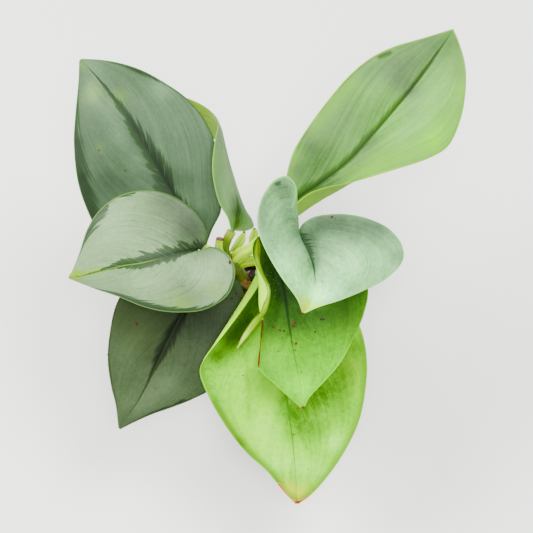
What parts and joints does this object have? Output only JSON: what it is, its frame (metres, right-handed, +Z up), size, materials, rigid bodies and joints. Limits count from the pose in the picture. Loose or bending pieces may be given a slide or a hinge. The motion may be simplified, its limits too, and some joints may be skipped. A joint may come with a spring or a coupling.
{
  "type": "potted scindapsus",
  "caption": "Young scindapsus house plant: leathery pointed leaves on short sheathed stalks, rising from one leaning stem in a small black nursery pot of potting mix.",
  "frame": {"origin": "centre of the pot's flat base", "axes": "+Z up, -Y towards the front leaf, +X to the right as seen from the front"},
  "size_m": [0.1921, 0.2139, 0.1565],
  "materials": {
    "pot": "satin",
    "potting_mix": "matte",
    "stem": "satin",
    "petiole": "satin",
    "dry_sheath": "matte",
    "leaf_dark": "satin",
    "leaf_silver": "satin",
    "leaf_light": "satin"
  },
  "bodies": {
    "root": {"pot": "pot", "potting_mix": "potting_mix", "stem": "stem", "old_stub": "dry_sheath", "blade_back_left": "leaf_dark", "blade_back_folded": "leaf_silver", "blade_left": "leaf_silver", "blade_front_left": "leaf_dark", "blade_back_right": "leaf_light", "blade_front": "leaf_light", "blade_right": "leaf_silver", "blade_torn": "leaf_light", "petiole_front_left": "petiole", "petiole_front": "petiole", "petiole_right": "petiole", "petiole_back_right": "petiole", "petiole_back_left": "petiole", "petiole_torn": "petiole", "petiole_left": "petiole", "petiole_back_folded": "petiole", "sheath_back": "dry_sheath", "sheath_left": "dry_sheath", "sheath_torn": "dry_sheath"}
  },
  "joints": []
}
